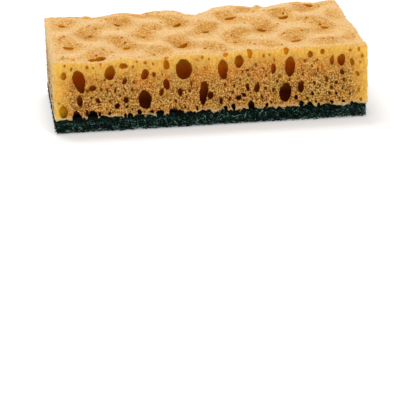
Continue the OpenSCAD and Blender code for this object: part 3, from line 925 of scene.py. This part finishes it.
def add_fibres(name, count, pick_place):
    """A tangle of fibres at the places and in the directions that pick_place gives, held about
    between the floor and the foam and within the uneven outline of the pad."""
    tangle = bpy.data.curves.new(name, "CURVE")
    tangle.dimensions = "3D"
    tangle.bevel_mode = "OBJECT"
    tangle.bevel_object = fibre_section
    tangle.use_fill_caps = True
    for _ in range(count):
        reach_x = PAD_LENGTH / 2 + dice.uniform(-0.5, 1) * FIBRE_STRAY
        reach_y = PAD_WIDTH / 2 + dice.uniform(-0.5, 1) * FIBRE_STRAY
        middle, along, inward = pick_place()
        length = dice.uniform(*FIBRE_LENGTH) * mm
        thickness = dice.uniform(*FIBRE_THICKNESS)
        lowest = dice.uniform(0.6, 4) * FIBRE_WIDTH
        highest = PAD_TOP + dice.uniform(-1.2, 0.3) * FIBRE_STRAY
        route = fibre_curve(middle, along, inward, length, dice.uniform(0.1, 0.5) * mm)
        spline = tangle.splines.new("POLY")
        spline.points.add(FIBRE_POINTS - 1)
        for point, place in zip(spline.points, route):
            x = min(max(place.x, -reach_x), reach_x)
            y = min(max(place.y, -reach_y), reach_y)
            z = min(max(place.z, lowest), highest)
            point.co = (x, y, z, 1)
            point.radius = thickness
            # The outline shrinks from point to point, so that no two of them meet in a corner
            reach_x -= POINT_GAP
            reach_y -= POINT_GAP
    piece = bpy.data.objects.new(name, tangle)
    bpy.context.scene.collection.objects.link(piece)
    bpy.ops.object.select_all(action="DESELECT")
    piece.select_set(True)
    bpy.context.view_layer.objects.active = piece
    bpy.ops.object.convert(target="MESH")
    piece = bpy.context.object
    # In the mesh the two end caps of each fibre come first, from the last fibre to the first one
    shades = np.array([dice.random() for _ in range(count)])
    cap_shades = np.repeat(shades[::-1], 2 * FIBRE_SIDES)
    tube_shades = np.repeat(shades, FIBRE_POINTS * FIBRE_SIDES)
    keep_on_surface(piece.data, "fibre_shade", np.concatenate([cap_shades, tube_shades]))
    # The caps are welded to their tubes
    bpy.ops.object.mode_set(mode="EDIT")
    bpy.ops.mesh.select_all(action="SELECT")
    bpy.ops.mesh.remove_doubles(threshold=WELD)
    bpy.ops.object.mode_set(mode="OBJECT")
    return piece


def place_on_side():
    """A random place on the pad's four sides, with a direction in the side and the way in."""
    reach = dice.uniform(0, 2 * (PAD_LENGTH + PAD_WIDTH))
    half_length, half_width = PAD_LENGTH / 2 - SIDE_DEEP, PAD_WIDTH / 2 - SIDE_DEEP
    up = dice.uniform(0.2 * mm, PAD_TOP)
    turn = dice.gauss(0, 0.9)
    tilt = dice.gauss(0, 0.3)
    if reach < 2 * PAD_LENGTH:
        sign = 1 if reach < PAD_LENGTH else -1
        middle = Vector((dice.uniform(-half_length, half_length), sign * half_width, up))
        along = Vector((math.cos(turn), tilt, math.sin(turn)))
        return middle, along, Vector((0, -sign, 0))
    sign = 1 if reach < 2 * PAD_LENGTH + PAD_WIDTH else -1
    middle = Vector((sign * half_length, dice.uniform(-half_width, half_width), up))
    return middle, Vector((tilt, math.cos(turn), math.sin(turn))), Vector((-sign, 0, 0))


def place_below():
    """A random place on the underside, with any direction in it."""
    turn = dice.uniform(0, math.tau)
    x = dice.uniform(-1, 1) * (PAD_LENGTH / 2 - UNDER_DEEP)
    y = dice.uniform(-1, 1) * (PAD_WIDTH / 2 - UNDER_DEEP)
    middle = Vector((x, y, dice.uniform(0.2, 0.8) * mm))
    return middle, Vector((math.cos(turn), math.sin(turn), 0)), Vector((0, 0, 1))


side_fibres = add_fibres("side_fibres", SIDE_FIBRES, place_on_side)
under_fibres = add_fibres("under_fibres", UNDER_FIBRES, place_below)
bpy.data.objects.remove(fibre_section)

green_nylon, tree = new_material("green nylon")
place_in_pad = add_node(tree, "ShaderNodeTexCoord").outputs["Object"]
mottle = add_node(tree, "ShaderNodeTexNoise", {
    "Vector": place_in_pad, "Scale": 1 / NYLON_MOTTLE, "Detail": 3, "Roughness": 0.7}).outputs["Fac"]
fibre = remap(tree, mottle, 0.3, 0.7, -0.5, 0.5)
fibre = calculate(tree, "ADD", attribute(tree, "fibre_shade"), fibre)
up = add_node(tree, "ShaderNodeSeparateXYZ", {"Vector": place_in_pad}).outputs["Z"]
# Painted shade: the fibres darken towards the foam that lies on them
foam_shade = remap(tree, up, PAD_TOP - SHADED_STRIP, PAD_TOP, 0, 0.35)
fibre = calculate(tree, "SUBTRACT", fibre, foam_shade)
colour = mix_colours(tree, remap(tree, fibre, 0.5, 0.85), FIBRE_SHADE, FIBRE_GREEN)
# A few fibres are painted pale, as glints of light on them
colour = mix_colours(tree, remap(tree, fibre, 0.92, 1.07), colour, FIBRE_GLINT)
nylon = add_node(tree, "ShaderNodeBsdfPrincipled", {
    "Base Color": colour, "Roughness": 0.5, "Specular IOR Level": 0.15})
add_node(tree, "ShaderNodeOutputMaterial", {"Surface": nylon.outputs[0]})

dark_resin, tree = new_material("dark resin mat")
place_in_mat = add_node(tree, "ShaderNodeTexCoord").outputs["Object"]
mottle = add_node(tree, "ShaderNodeTexNoise", {
    "Vector": place_in_mat, "Scale": 1 / RESIN_MOTTLE, "Detail": 4, "Roughness": 0.7}).outputs["Fac"]
colour = mix_colours(tree, remap(tree, mottle, 0.35, 0.65), FIBRE_SHADE, RESIN_GREEN)
bump = add_node(tree, "ShaderNodeBump", {
    "Height": mottle, "Strength": 0.8, "Distance": RESIN_RELIEF})
resin = add_node(tree, "ShaderNodeBsdfPrincipled", {
    "Base Color": colour, "Roughness": 0.8, "Specular IOR Level": 0.15, "Normal": bump.outputs[0]})
add_node(tree, "ShaderNodeOutputMaterial", {"Surface": resin.outputs[0]})

mat.data.materials.clear()
mat.data.materials.append(dark_resin)
for tangle in (side_fibres, under_fibres):
    tangle.data.materials.clear()
    tangle.data.materials.append(green_nylon)
for piece in (mat, side_fibres, under_fibres):
    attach(piece, "root")
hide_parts("scouring_pad")
